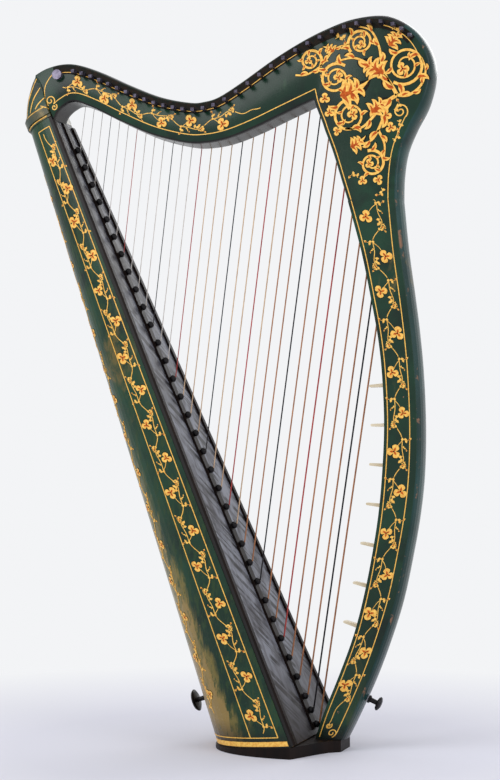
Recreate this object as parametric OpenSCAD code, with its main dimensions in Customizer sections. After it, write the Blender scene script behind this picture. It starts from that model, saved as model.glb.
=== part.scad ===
// Portable lever harp with a bowed pillar: 33 strings, seven ivory finger levers
// (ditals) and one fork disc for each string.
// X runs from the soundbox to the pillar, Y is the thickness, Z is up.
// The origin lies on the flat underside of the base.

/* [Soundbox] */
// Lean of the soundboard from the vertical, in degrees
board_lean = 23.9; // [23:0.1:25]
// Height of the base moulding in front, where the pillar stands
base_h = 14; // [12:1:18]
// Height of the base moulding at the back
base_back_h = 4; // [3:1:10]
// Half width of the soundbox at its base
box_half_low = 101; // [98:1:108]
// Half width of the soundbox at its top
box_half_top = 33; // [31:1:36]
// Depth of the soundbox at its base, square to the soundboard
box_deep_low = 116; // [110:1:122]
// Depth of the soundbox at its top
box_deep_top = 43; // [40:1:47]
// Thickness of the soundbox staves
wall_t = 6; // [4:1:8]
// Thickness of the soundboard
board_t = 4; // [3:0.5:5]

/* [Neck and pillar] */
// Thickness of the neck and the pillar
frame_t = 40; // [36:1:42]
// How far the outer edge of neck and pillar swells at mid thickness
edge_swell = 7; // [4:1:9]

/* [Strings] */
// Number of strings
string_count = 33; // [33:1:33]
// Height of the first, shortest string's peg
peg_first_z = 766; // [760:1:770]
// Height between the pegs
peg_pitch = 23.5; // [23:0.1:23.8]
// Radius of the thinnest string
string_r_top = 0.35; // [0.3:0.05:0.5]
// Radius of the thickest string
string_r_low = 1.1; // [0.8:0.1:1.2]

/* [Action] */
// Height of the lowest finger lever
dital_low_z = 151; // [145:1:155]
// Height between the finger levers
dital_pitch = 49.5; // [47:0.5:50]
// How far a finger lever stands out of the pillar
dital_out = 21; // [18:1:24]
// Radius of a fork disc
disc_r = 6; // [5.5:0.1:6.2]

/* [Hidden] */
$fn = 48;
note_names = ["b", "a", "g", "f", "e", "d", "c"];
two_digits = [for (i = [1 : 33]) str(i < 10 ? "0" : "", i)];

// The soundboard's outer face leaves the ground plane at this X
board_foot_x = 84;
// Where the soundbox ends, measured up along the soundboard
box_top_u = 884;
ring_h = 17;
near_y = -30;
far_y = near_y + frame_t;
mid_y = near_y + frame_t / 2;

// ---- curves ----------------------------------------------------------
function spline_point(p, i, t) =
    let (a = p[max(i - 1, 0)], b = p[i], c = p[i + 1], d = p[min(i + 2, len(p) - 1)])
    0.5 * (2 * b + (c - a) * t + (2 * a - 5 * b + 4 * c - d) * t * t
           + (3 * b - a - 3 * c + d) * t * t * t);
function spline(p, steps) = concat(
    [for (i = [0 : len(p) - 2]) for (s = [0 : steps - 1]) spline_point(p, i, s / steps)],
    [p[len(p) - 1]]);
function unit(v) = v / norm(v);
function left_of(v) = [-v[1], v[0]];
function run_at(c, i) = unit(c[min(i + 1, len(c) - 1)] - c[max(i - 1, 0)]);

// Each station is a cut across the frame: outer edge X and Z, then inner edge X and Z
neck_stations = [
    [-298, 864, -271, 804], [-283, 871, -266, 814], [-262, 875, -256, 822], [-240, 873, -242, 826],
    [-208, 861, -216, 816], [-165, 840, -178, 796], [-123, 822, -133, 775], [-82, 812, -88, 762],
    [-61, 812, -60, 760], [-41, 817, -30, 764], [-10, 834, 5, 775], [27, 857, 40, 789],
    [62, 876, 68, 800], [98, 891, 82, 805], [136, 901, 85, 801], [175, 900, 87, 795],
    [205, 883, 90, 787], [223, 858, 94, 777], [228, 830, 98, 765], [220, 796, 103, 752],
    [204, 766, 108, 738], [192, 737, 113, 722], [187, 706, 119, 702], [186, 676, 127, 676]];
pillar_stations = [
    [186, 676, 127, 676], [192, 613, 144, 613], [200, 554, 156, 554], [206, 504, 165, 504],
    [210, 455, 170, 455], [212, 393, 172, 395], [210, 333, 169, 335], [204, 284, 164, 286],
    [195, 236, 156, 238], [184, 187, 146, 190], [169, 139, 133, 142], [151, 91, 115, 94],
    [129, 42, 95, 46], [115, base_h, 84, base_h]];
neck_line = spline(neck_stations, 4);
pillar_line = spline(pillar_stations, 4);
function outer(s) = [s[0], s[1]];
function inner(s) = [s[2], s[3]];
// A point part of the way from the inner edge to the outer edge
function across(s, part) = inner(s) + (outer(s) - inner(s)) * part;

// ---- the leaning soundbox --------------------------------------------
// Soundbox coordinates: out from the soundboard, Y, and up along it
function lean(p) = [board_foot_x + p[0] * cos(board_lean) - p[2] * sin(board_lean), p[1],
                    p[0] * sin(board_lean) + p[2] * cos(board_lean)];
module on_board() { translate([board_foot_x, 0, 0]) rotate([0, -board_lean, 0]) children(); }
// The distance up the soundboard at which a point this far out reaches a height
function up_at(z, out) = (z - out * sin(board_lean)) / cos(board_lean);
function mix(a, b, t) = a + (b - a) * t;
function half_width(u) = mix(box_half_low, box_half_top, u / box_top_u);
function box_depth(u) = mix(box_deep_low, box_deep_top, u / box_top_u);

// One round-backed section: superellipse from edge to edge, drawn in by a margin
round_power = 2 / 2.35;
function section(half, deep, inset, steps) = [for (k = [0 : steps])
    let (a = -90 + 180 * k / steps)
    [-board_t - (deep - board_t - inset) * pow(max(cos(a), 0), round_power),
     (half - inset) * sign(a) * pow(abs(sin(a)), round_power)]];
// The moulding thins towards the back, so the box's foot slopes with it
function base_level(out) = mix(base_h, base_back_h, -out / box_deep_low);
// The same section set at a share of the box's length, resting on the moulding at the foot
function box_ring(t, inset, steps) =
    let (low = section(box_half_low, box_deep_low, inset, steps),
         top = section(box_half_top, box_deep_top, inset, steps))
    [for (k = [0 : steps])
        let (a = lean([low[k][0], low[k][1], up_at(base_level(low[k][0]), low[k][0])]),
             b = lean([top[k][0], top[k][1], box_top_u]))
        mix(a, b, t)];

// Joins closed rings of equal length into one solid; a folded ring runs out and back
module loft(rings, folded = false) {
    n = len(rings[0]);
    m = len(rings);
    pts = [for (r = rings) each r];
    sides = [for (j = [0 : m - 2]) for (k = [0 : n - 1])
        let (a = j * n + k, b = j * n + (k + 1) % n)
        each [[a, b, b + n], [a, b + n, a + n]]];
    end = (m - 1) * n;
    ends = folded
        ? [for (k = [0 : n / 2 - 2]) each [
            [n - 1 - k, n - 2 - k, k + 1, k],
            [end + k, end + k + 1, end + n - 2 - k, end + n - 1 - k]]]
        : [[for (k = [n - 1 : -1 : 0]) k], [for (k = [0 : n - 1]) end + k]];
    polyhedron(points = pts, faces = concat(sides, ends), convexity = 10);
}
module box_shell(from, to, inset, thick, levels, steps) {
    loft([for (j = [0 : levels])
        let (t = mix(from, to, j / levels))
        concat(box_ring(t, inset, steps),
               [for (k = [steps : -1 : 0]) box_ring(t, inset + thick, steps)[k]])], folded = true);
}
module box_solid(from, to, inset, levels, steps) {
    loft([for (j = [0 : levels]) box_ring(mix(from, to, j / levels), inset, steps)]);
}

sound_hole_us = [210, 370, 530, 690];
module soundbox_shell() {
    color("darkgreen")
    difference() {
        box_shell(0, 1, 0, wall_t, 8, 28);
        on_board()
        for (u = sound_hole_us)
            translate([-box_depth(u) - 5, 0, u])
            rotate([0, 90, 0])
            cylinder(r = half_width(u) * 0.26, h = 5 + wall_t * 3);
    }
}
module base_block() {
    color("burlywood")
    box_solid(0, 0.008, wall_t + 0.3, 1, 20);
}
// Three bowed braces inside the back
module soundbox_bars() {
    color("burlywood")
    for (t = [0.27, 0.46, 0.65])
        box_shell(t, t + 0.014, wall_t + 0.3, 8, 1, 20);
}

module board_plate(low, from, to, inset, thick) {
    translate([low, 0, 0])
    rotate([90, 0, 90])
    linear_extrude(thick)
    polygon([[-half_width(from) + inset, from], [half_width(from) - inset, from],
             [half_width(to) - inset, to], [-half_width(to) + inset, to]]);
}
board_low_u = up_at(base_h, -board_t) + 0.2;
module soundboard() {
    color("dimgray")
    on_board()
    difference() {
        board_plate(-board_t, board_low_u, box_top_u, 0, board_t);
        peg_holes();
    }
}
edge_w = 8;
// The mouldings and the string rib stop just short of the neck
neck_gap_u = box_top_u - 6;
edge_h = 3;
module edge_mouldings() {
    color("saddlebrown")
    on_board()
    difference() {
        board_plate(0, board_low_u, neck_gap_u, 0, edge_h);
        board_plate(-1, board_low_u - 1, box_top_u + 1, edge_w, edge_h + 2);
    }
}
rib_h = 3;
rib_half_low = 8;
rib_half_top = 5;
rib_low_u = up_at(base_h, 0) + 8;
peg_r = 2.4;
module string_rib() {
    color("saddlebrown")
    on_board()
    difference() {
        rotate([90, 0, 90])
        linear_extrude(rib_h)
        polygon([[-rib_half_low, rib_low_u], [rib_half_low, rib_low_u],
                 [rib_half_top, neck_gap_u], [-rib_half_top, neck_gap_u]]);
        peg_holes();
    }
}

// ---- strings ----------------------------------------------------------
last_even = 31;
low_peg_pitch = 17;
function peg_z(i) = peg_first_z - peg_pitch * (min(i, last_even) - 1)
                    - low_peg_pitch * max(i - last_even, 0);
function peg_u(i) = up_at(peg_z(i), rib_h);
// Where a string leaves the rib
function string_foot(i) = lean([rib_h, 0, peg_u(i)]);
// How far a string leans towards the pillar for each unit of height
function string_lean(i) = mix(0.09, 0.152, (i - 1) / (string_count - 1));
function string_r(i) = mix(string_r_top, string_r_low, pow((i - 1) / (string_count - 1), 1.3));
function string_x(i, z) = string_foot(i)[0] + string_lean(i) * (z - string_foot(i)[2]);

// The tuning pins follow the neck's top edge, closer to it towards the head
pin_inset_left = 10;
pin_inset_right = 6.5;
function pin_inset(k) = mix(pin_inset_left, pin_inset_right, min(max((k - 28) / 12, 0), 1));
neck_top = [for (s = neck_line) outer(s)];
pin_row = [for (k = [2 : 66]) neck_top[k] - left_of(run_at(neck_top, k)) * pin_inset(k)];
// A string's height where it meets a row that lies a drop below the tuning pins
function row_z(i, drop, z) = lookup(string_x(i, z), pin_row) - drop;
function meet_z(i, drop) = row_z(i, drop, row_z(i, drop, row_z(i, drop, 840)));
bridge_drop = 15;
string_y = 19;
pin_r = 2.8;
bridge_r = 1.4;
bridge_zs = [for (i = [1 : string_count]) meet_z(i, bridge_drop)];
pin_zs = [for (i = [1 : string_count]) meet_z(i, 0)];
function bridge_z(i) = bridge_zs[i - 1];
function pin_z(i) = pin_zs[i - 1];
// The pins stand beside the string, which runs up their left side
function bridge_x(i) = string_x(i, bridge_z(i)) + bridge_r + string_r(i);
function pin_x(i) = string_x(i, pin_z(i)) + pin_r + string_r(i);
function string_top(i) = [string_x(i, bridge_z(i)), string_y, bridge_z(i)];
function string_end(i) = [string_x(i, pin_z(i)), string_y, pin_z(i)];

module peg_holes() {
    for (i = [1 : string_count])
        translate([-board_t - 1, 0, peg_u(i)])
        rotate([0, 90, 0])
        cylinder(r = peg_r, h = board_t + rib_h + 2, $fn = 24);
}
// Each peg has a shank through rib and soundboard and a round head beside its string
peg_head_r = 4.6;
module string_pegs() {
    color("black")
    on_board()
    for (i = [1 : string_count])
        translate([0, 0, peg_u(i)])
        rotate([0, 90, 0]) {
            translate([0, 0, -board_t - 6])
            cylinder(r = peg_r, h = board_t + 6 + rib_h, $fn = 24);
            translate([0, 0, rib_h])
            cylinder(r1 = peg_head_r * 0.75, r2 = peg_head_r, h = 2.5, $fn = 24);
            translate([0, 0, rib_h + 2.5])
            intersection() {
                sphere(r = peg_head_r, $fn = 24);
                cylinder(r = peg_head_r + 1, h = peg_head_r + 1, $fn = 24);
            }
        }
}
// A string starts on top of its peg, passes its bridge pin and is wound round its tuning pin
peg_top = rib_h + 2.5 + peg_head_r;
winding_turns = 3;
string_sides = 8;
function string_ring(centre, r) = [for (k = [0 : string_sides - 1])
    let (a = 360 * k / string_sides)
    centre + r * [-cos(a), sin(a), 0]];
module strings() {
    color("tan")
    for (i = [1 : string_count]) {
        r = string_r(i);
        loft([for (c = [lean([peg_top, 0, peg_u(i)]), string_top(i), string_end(i)])
            string_ring(c, r)]);
        low = string_y + 1.3 * r;
        translate([pin_x(i), low + 2 * winding_turns * r, pin_z(i)])
        rotate([90, 0, 0])
        difference() {
            cylinder(r = pin_r + 2 * r, h = 2 * winding_turns * r, $fn = 24);
            translate([0, 0, -1])
            cylinder(r = pin_r, h = 2 * winding_turns * r + 2, $fn = 24);
        }
    }
}
module along_y(x, z, y0, y1, r) {
    translate([x, y1, z])
    rotate([90, 0, 0])
    cylinder(r = r, h = y1 - y0, $fn = 24);
}
// Square near ends for the key, round ends for the strings on the far side
key_end = 11;
key_w = 4.4;
module tuning_pins() {
    color("dimgray")
    for (i = [1 : string_count]) {
        along_y(pin_x(i), pin_z(i), near_y, string_y + 9, pin_r);
        translate([pin_x(i) - key_w / 2, near_y - key_end, pin_z(i) - key_w / 2])
        cube([key_w, key_end, key_w]);
    }
}
plate_t = 2.5;
module bridge_pins() {
    color("goldenrod")
    for (i = [1 : string_count]) {
        along_y(bridge_x(i), bridge_z(i), far_y, string_y + 2.5, bridge_r);
        along_y(bridge_x(i), bridge_z(i), string_y + 2.5, string_y + 4, bridge_r + 0.8);
    }
}

// ---- fork discs --------------------------------------------------------
// A disc stands a semitone's length below its bridge pin, where there is room for it
semitone = 0.056;
prong_reach = 4.2;
prong_r = 1;
disc_least = 9.4;
spindle_r = 2;
running_gap = 0.05;
disc_t = 2.2;
function speaking_length(i) = norm(string_top(i) - string_foot(i));
function disc_z(i) = bridge_z(i) - max(disc_least, semitone * speaking_length(i) - 3.4);
function disc_x(i) = string_x(i, disc_z(i));
module fork_disc(i) {
    x = disc_x(i);
    z = disc_z(i);
    disc_y = far_y + plate_t + 0.4;
    tilt = atan(string_lean(i));
    color("goldenrod") {
        along_y(x, z, far_y - 6, disc_y, spindle_r);
        along_y(x, z, disc_y, disc_y + disc_t, disc_r);
        for (side = [-1, 1])
            translate([x, 0, z])
            rotate([0, tilt, 0])
            along_y(side * prong_reach, 0, disc_y + 1, string_y + 4.5, prong_r);
    }
}

// ---- neck and pillar ---------------------------------------------------
swell_steps = 8;
// The neck's top edge swells less than the head and the pillar
neck_swell = 3;
function swell_at(s) = mix(neck_swell, edge_swell, min(max((outer(s)[0] - 60) / 120, 0), 1));
// A cut through the frame: flat sides, a square inner edge and a swelling outer edge
function frame_ring(line, i) =
    let (o = outer(line[i]), q = inner(line[i]),
         way = left_of(run_at([for (s = line) outer(s)], i)))
    concat([[q[0], near_y, q[1]]],
           [for (k = [0 : swell_steps])
                let (a = 180 * k / swell_steps, e = o + way * swell_at(line[i]) * sin(a))
                [e[0], mid_y - frame_t / 2 * cos(a), e[1]]],
           [[q[0], far_y, q[1]]]);
module frame_sweep(line) {
    loft([for (i = [0 : len(line) - 1]) frame_ring(line, i)]);
}
// A band that follows the frame between two parts of its width
module band(line, low, high, y0, y1) {
    translate([0, y1, 0])
    rotate([90, 0, 0])
    linear_extrude(y1 - y0)
    polygon(concat([for (s = line) across(s, low)],
                   [for (k = [len(line) - 1 : -1 : 0]) across(line[k], high)]));
}
// The same, but kept a distance inside each edge
module inset_band(line, from_inner, from_outer, y0, y1) {
    translate([0, y1, 0])
    rotate([90, 0, 0])
    linear_extrude(y1 - y0)
    polygon(concat([for (s = line) inner(s) + unit(outer(s) - inner(s)) * from_inner],
                   [for (k = [len(line) - 1 : -1 : 0])
                       outer(line[k]) - unit(outer(line[k]) - inner(line[k])) * from_outer]));
}
function part_of(line, a, b) = [for (i = [a : b]) line[i]];
// Stations half way between those of a line
function between(line) = [for (i = [0 : len(line) - 2]) (line[i] + line[i + 1]) / 2];
pocket_deep = 28;
// The action's pocket is open on the far side as far round as the plate covers it
pocket_from = 6;
pocket_to = 80;
neck_last = len(neck_line) - 1;
module neck() {
    color("darkgreen")
    difference() {
        frame_sweep(neck_line);
        for (i = [1 : string_count])
            along_y(pin_x(i), pin_z(i), near_y - 1, far_y + 1, pin_r);
        inset_band(between(part_of(neck_line, pocket_from, pocket_to)), 8, 16.5,
                   far_y - pocket_deep, far_y + 1);
        band(part_of(neck_line, pocket_to - 2, neck_last), 0.16, 0.5,
             mid_y - channel_half, mid_y + channel_half);
    }
}
plate_inset = 3.5;
module action_plate() {
    color("goldenrod")
    difference() {
        inset_band(part_of(neck_line, pocket_from - 2, pocket_to + 1), plate_inset, plate_inset,
                   far_y, far_y + plate_t);
        for (i = [1 : string_count]) {
            along_y(disc_x(i), disc_z(i), far_y - 1, far_y + plate_t + 1, spindle_r + running_gap);
            along_y(bridge_x(i), bridge_z(i), far_y - 1, far_y + plate_t + 1, bridge_r);
            along_y(pin_x(i), pin_z(i), far_y - 1, far_y + plate_t + 1, pin_r + 0.5);
        }
    }
}

// ---- finger levers -----------------------------------------------------
inner_by_z = [for (k = [len(pillar_line) - 1 : -1 : 0]) [pillar_line[k][3], pillar_line[k][2]]];
function inner_x(z) = lookup(z, inner_by_z);
function dital_z(k) = dital_low_z + dital_pitch * (6 - k);
function inner_tilt(z) = atan((inner_x(z + 8) - inner_x(z - 8)) / 16);
pivot_in = 11;
pivot_r = 1.5;
dital_w = 11;
dital_thick = 4.6;
// Lever coordinates: X runs into the pillar, square to its inner face
module at_dital(k) {
    z = dital_z(k);
    translate([inner_x(z), mid_y, z]) rotate([0, inner_tilt(z), 0]) children();
}
module dital(k) {
    color("ivory")
    at_dital(k) {
        rotate([90, 0, 0])
        translate([0, 0, -dital_w / 2])
        linear_extrude(dital_w)
        union() {
            polygon([[pivot_in + 3, -dital_thick / 2], [pivot_in + 3, dital_thick / 2],
                     [0, dital_thick / 2], [-dital_out + 2, 1.6], [-dital_out + 2, -1.6],
                     [0, -dital_thick / 2]]);
            translate([-dital_out + 2, 0])
            circle(r = 1.6, $fn = 24);
        }
        translate([pivot_in, 0, 0])
        along_y(0, 0, -10.5, 10.5, pivot_r);
    }
}
channel_half = 8.5;
pillar_top = len(pillar_line) - 1;
channel_last = pillar_top - 9;
module pillar() {
    color("darkgreen")
    difference() {
        frame_sweep(pillar_line);
        translate([60, near_y - 1, base_h - 12])
        cube([90, frame_t + 2, 12]);
        band(part_of(pillar_line, 0, channel_last), 0.045, 0.62, mid_y - channel_half, mid_y + channel_half);
        band(part_of(pillar_line, plate_first, channel_last + 1), -0.1, 0.055, mid_y - 12, mid_y + 12);
        for (k = [0 : 6])
            at_dital(k)
            translate([pivot_in, 0, 0])
            along_y(0, 0, -11.5, 11.5, pivot_r + running_gap);
    }
}
// A curved cover let into the pillar, with a slot for each lever
plate_first = 14;
module dital_plate() {
    color("goldenrod")
    difference() {
        band(part_of(pillar_line, plate_first, channel_last + 1), 0.002, 0.05, mid_y - 11.8, mid_y + 11.8);
        for (k = [0 : 6])
            at_dital(k)
            translate([-6, -dital_w / 2 - 0.6, -7])
            cube([12, dital_w + 1.2, 10.5]);
    }
}
// Seven flat pull wires, side by side, from behind the levers to the far end of the neck
wire_t = 0.9;
wire_pitch = 1.9;
wire_low = 0.42;
wire_high = 0.44;
// The station of the pillar beside each lever
function lever_station(k) = round(16.5 + 3.75 * k);
module linkage() {
    color("silver")
    for (k = [0 : 6]) {
        y = mid_y - 3 * wire_pitch + wire_pitch * k - wire_t / 2;
        band(concat(part_of(neck_line, pocket_from + 2, neck_last),
                    part_of(pillar_line, 1, lever_station(k))), wire_low, wire_high, y, y + wire_t);
    }
}

// ---- shoulder, base and fittings ---------------------------------------
ring_out = 3;
cap_steps = swell_steps;
module ring_slab(out, low, high) {
    half = box_half_top + out;
    translate([0, 0, low])
    linear_extrude(high - low)
    polygon(concat([[0, -half]], section(half, box_deep_top + out, 0, 24), [[0, half]]));
}
module shoulder_ring() {
    color("olive")
    on_board()
    union() {
        ring_slab(1, box_top_u, box_top_u + ring_h);
        ring_slab(ring_out, box_top_u + 4, box_top_u + ring_h - 3);
    }
}
// The cap turns from the ring's level top to the upright end of the neck
cap_low = concat([[0, -box_half_top]], section(box_half_top, box_deep_top, 0, cap_steps),
                 [[0, box_half_top]]);
cap_low_ring = [for (p = cap_low) lean([p[0], p[1], box_top_u + ring_h])];
neck_end = frame_ring(neck_line, 0);
cap_lip = across(neck_line[0], 0.36);
cap_high_ring = concat([[cap_lip[0], near_y, cap_lip[1]]],
                       [for (k = [1 : cap_steps + 1]) neck_end[k]],
                       [[cap_lip[0], far_y, cap_lip[1]]]);
function bend(a, b, t) =
    let (m = [a[0], (a[1] + b[1]) / 2, mix(a[2], b[2], 0.7)])
    a * (1 - t) * (1 - t) + m * 2 * t * (1 - t) + b * t * t;
module shoulder_cap() {
    color("darkgreen")
    loft([for (t = [0 : 0.125 : 1])
        [for (k = [0 : len(cap_low_ring) - 1]) bend(cap_low_ring[k], cap_high_ring[k], t)]]);
}
module neck_bolt() {
    color("slategray") {
        along_y(-265, 862, near_y - 6, near_y, 6.5);
        along_y(-265, 862, near_y, near_y + 20, 3);
    }
}
// The plinth follows the box's foot and reaches forward under the pillar
plinth_lip = 2.5;
plinth_tongue = [[94, 60], [104, 22], [117, far_y + 2], [117, near_y - 2], [104, -42], [94, -60]];
module base_moulding() {
    rise = base_h - base_back_h;
    slope = atan(rise / (box_deep_low / cos(board_lean) - rise * tan(board_lean)));
    color("saddlebrown")
    difference() {
        linear_extrude(base_h)
        polygon(concat([for (p = box_ring(0, -plinth_lip, 32)) [p[0], p[1]]], plinth_tongue));
        translate(lean([0, 0, up_at(base_h, 0)]))
        rotate([0, -slope, 0])
        translate([-200, -150, 0])
        cube([200, 300, 40]);
    }
}
// A turned button: flange, neck and domed head
module button(head_r, neck_len) {
    rotate_extrude()
    polygon([[0, 0], [5, 0], [5, 2], [3, 3.5], [3, neck_len], [head_r * 0.8, neck_len + 1],
             [head_r, neck_len + 2.5], [head_r * 0.9, neck_len + 4.5],
             [head_r * 0.5, neck_len + 6], [0, neck_len + 6.5]]);
}
button_z = 57;
back_line = [for (t = [0 : 0.05 : 1]) let (p = box_ring(t, 0, 2)[1]) [p[2], p[0]]];
front_line = [for (k = [len(pillar_line) - 1 : -1 : 0]) [pillar_line[k][1], pillar_line[k][0]]];
module strap_buttons() {
    back_x = lookup(button_z, back_line);
    back_tilt = atan((lookup(button_z + 20, back_line) - back_x) / 20);
    front_z = button_z + 9;
    front_x = lookup(front_z, front_line);
    front_tilt = atan((lookup(front_z + 8, front_line) - front_x) / 8);
    color("black") {
        translate([back_x, 0, button_z]) rotate([0, back_tilt - 90, 0]) button(14, 17);
        translate([front_x, mid_y, front_z])
        rotate([0, front_tilt + 90, 0])
        translate([0, 0, edge_swell]) button(9, 11);
    }
}

base_moulding();
base_block();
soundbox_shell();
soundbox_bars();
soundboard();
edge_mouldings();
string_rib();
string_pegs();
shoulder_ring();
shoulder_cap();
neck();
neck_bolt();
pillar();
dital_plate();
action_plate();
bridge_pins();
tuning_pins();
strings();
strap_buttons();
linkage();
for (k = [0 : 6])
    dital(k);
for (i = [1 : string_count])
    fork_disc(i);
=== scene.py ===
"""A small portable concert harp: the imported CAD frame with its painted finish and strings."""

import math
import random

import bmesh
import bpy
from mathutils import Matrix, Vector
from mathutils.bvhtree import BVHTree


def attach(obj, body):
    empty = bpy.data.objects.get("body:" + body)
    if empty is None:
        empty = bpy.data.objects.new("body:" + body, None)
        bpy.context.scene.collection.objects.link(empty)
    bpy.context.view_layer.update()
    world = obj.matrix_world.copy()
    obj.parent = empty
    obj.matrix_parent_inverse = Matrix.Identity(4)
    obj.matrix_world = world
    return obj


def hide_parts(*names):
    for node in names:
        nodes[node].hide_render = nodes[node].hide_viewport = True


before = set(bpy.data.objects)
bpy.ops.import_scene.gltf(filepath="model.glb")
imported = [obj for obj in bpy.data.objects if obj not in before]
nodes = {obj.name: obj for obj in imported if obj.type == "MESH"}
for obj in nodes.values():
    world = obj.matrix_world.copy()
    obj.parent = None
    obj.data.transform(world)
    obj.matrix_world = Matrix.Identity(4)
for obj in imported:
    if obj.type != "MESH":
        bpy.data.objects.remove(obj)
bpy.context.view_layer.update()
MM = 0.001
FRAME_BODY = "harp_frame"

# ---- the harp's own measures, in millimetres -------------------------------
LEAN = math.radians(23.9)
BOARD_FOOT_X = 84.0
BOX_TOP_U = 884.0
BASE_FRONT = 14.0
BASE_BACK = 4.0
HALF_LOW = 101.0
HALF_TOP = 33.0
DEEP_LOW = 116.0
DEEP_TOP = 43.0
BOARD_T = 4.0
ROUND_POWER = 2 / 2.35
NEAR_Y = -30.0
FAR_Y = 10.0
MID_Y = -10.0
HALF_FRAME = 20.0
NECK_SWELL = 3.0
EDGE_SWELL = 7.0
STRING_COUNT = 33
NECK_STATIONS = [
    [-298, 864, -271, 804], [-283, 871, -266, 814], [-262, 875, -256, 822],
    [-240, 873, -242, 826], [-208, 861, -216, 816], [-165, 840, -178, 796],
    [-123, 822, -133, 775], [-82, 812, -88, 762], [-61, 812, -60, 760],
    [-41, 817, -30, 764], [-10, 834, 5, 775], [27, 857, 40, 789], [62, 876, 68, 800],
    [98, 891, 82, 805], [136, 901, 85, 801], [175, 900, 87, 795], [205, 883, 90, 787],
    [223, 858, 94, 777], [228, 830, 98, 765], [220, 796, 103, 752], [204, 766, 108, 738],
    [192, 737, 113, 722], [187, 706, 119, 702], [186, 676, 127, 676],
]
PILLAR_STATIONS = [
    [186, 676, 127, 676], [192, 613, 144, 613], [200, 554, 156, 554], [206, 504, 165, 504],
    [210, 455, 170, 455], [212, 393, 172, 395], [210, 333, 169, 335], [204, 284, 164, 286],
    [195, 236, 156, 238], [184, 187, 146, 190], [169, 139, 133, 142], [151, 91, 115, 94],
    [129, 42, 95, 46], [115, 14, 84, 14],
]


def mix(a, b, t):
    return a + (b - a) * t


def clamp(v, low, high):
    return max(low, min(high, v))


def spline(points, steps):
    last = len(points) - 1
    out = []
    for i in range(last):
        four = [points[max(i - 1, 0)], points[i], points[i + 1], points[min(i + 2, last)]]
        for s in range(steps):
            t = s / steps
            out.append([
                0.5 * (2 * q + (r - p) * t + (2 * p - 5 * q + 4 * r - w) * t * t
                       + (3 * q - p - 3 * r + w) * t ** 3)
                for p, q, r, w in zip(*four)
            ])
    out.append([float(v) for v in points[last]])
    return out


# ---- mesh building ---------------------------------------------------------
class Shapes:
    """Gathers closed shells, with a material number for each face, into one mesh."""

    def __init__(self):
        self.verts = []
        self.faces = []
        self.mats = []

    def add(self, verts, faces, mat=0):
        base = len(self.verts)
        self.verts.extend(verts)
        for f in faces:
            self.faces.append([base + k for k in f])
            self.mats.append(mat)

    def build(self, name, materials, body=FRAME_BODY, smooth_angle=None):
        mesh = bpy.data.meshes.new(name)
        mesh.from_pydata([tuple(v) for v in self.verts], [], self.faces)
        for m in materials:
            mesh.materials.append(m)
        mesh.polygons.foreach_set("material_index", self.mats)
        shell = bmesh.new()
        shell.from_mesh(mesh)
        bmesh.ops.recalc_face_normals(shell, faces=shell.faces)
        shell.to_mesh(mesh)
        shell.free()
        if smooth_angle is not None:
            mesh.polygons.foreach_set("use_smooth", [True] * len(mesh.polygons))
            mesh.set_sharp_from_angle(angle=math.radians(smooth_angle))
        mesh.update()
        piece = bpy.data.objects.new(name, mesh)
        bpy.context.scene.collection.objects.link(piece)
        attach(piece, body)
        return piece


def ring_faces(n, m, closed_ends=True):
    """Faces of m rings of n points each, joined in a row, with flat ends."""
    faces = []
    for j in range(m - 1):
        for k in range(n):
            a, b = j * n + k, j * n + (k + 1) % n
            faces.append([a, b, b + n, a + n])
    if closed_ends:
        faces.append(list(range(n - 1, -1, -1)))
        faces.append([(m - 1) * n + k for k in range(n)])
    return faces


# ---- surfaces that carry painted ornament ----------------------------------
class FlatFace:
    """The near or far face of neck or pillar: (along, out from the middle) in mm."""

    def __init__(self, line, y, outward):
        self.y = y
        self.outward = outward
        self.mids = [((s[0] + s[2]) / 2, (s[1] + s[3]) / 2) for s in line]
        self.ways = []
        self.halves = []
        for s in line:
            dx, dz = s[0] - s[2], s[1] - s[3]
            size = math.hypot(dx, dz)
            self.ways.append((dx / size, dz / size))
            self.halves.append(size / 2)
        self.at = [0.0]
        for a, b in zip(self.mids, self.mids[1:]):
            self.at.append(self.at[-1] + math.hypot(b[0] - a[0], b[1] - a[1]))
        self.length = self.at[-1]

    def find(self, s):
        s = clamp(s, 0.0, self.length)
        i = 0
        while i < len(self.at) - 2 and self.at[i + 1] < s:
            i += 1
        return i, (s - self.at[i]) / (self.at[i + 1] - self.at[i])

    def half(self, s):
        i, t = self.find(s)
        return mix(self.halves[i], self.halves[i + 1], t)

    def put(self, s, v, lift):
        i, t = self.find(s)
        x = mix(self.mids[i][0], self.mids[i + 1][0], t)
        z = mix(self.mids[i][1], self.mids[i + 1][1], t)
        wx = mix(self.ways[i][0], self.ways[i + 1][0], t)
        wz = mix(self.ways[i][1], self.ways[i + 1][1], t)
        size = math.hypot(wx, wz)
        return Vector(((x + wx / size * v) * MM, (self.y + self.outward * lift) * MM,
                       (z + wz / size * v) * MM))


class PlainFace:
    """A flat upright face, drawn on directly with X and Z in mm."""

    def __init__(self, y, outward):
        self.y = y
        self.outward = outward

    def put(self, x, z, lift):
        return Vector((x * MM, (self.y + self.outward * lift) * MM, z * MM))


def lean(w, y, u):
    return Vector((BOARD_FOOT_X + w * math.cos(LEAN) - u * math.sin(LEAN), y,
                   w * math.sin(LEAN) + u * math.cos(LEAN)))


def up_at(z, out):
    return (z - out * math.sin(LEAN)) / math.cos(LEAN)


def section(half, deep, angle):
    c = max(math.cos(angle), 0.0) ** ROUND_POWER
    s = math.copysign(abs(math.sin(angle)) ** ROUND_POWER, angle)
    return -BOARD_T - (deep - BOARD_T) * c, half * s


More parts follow.
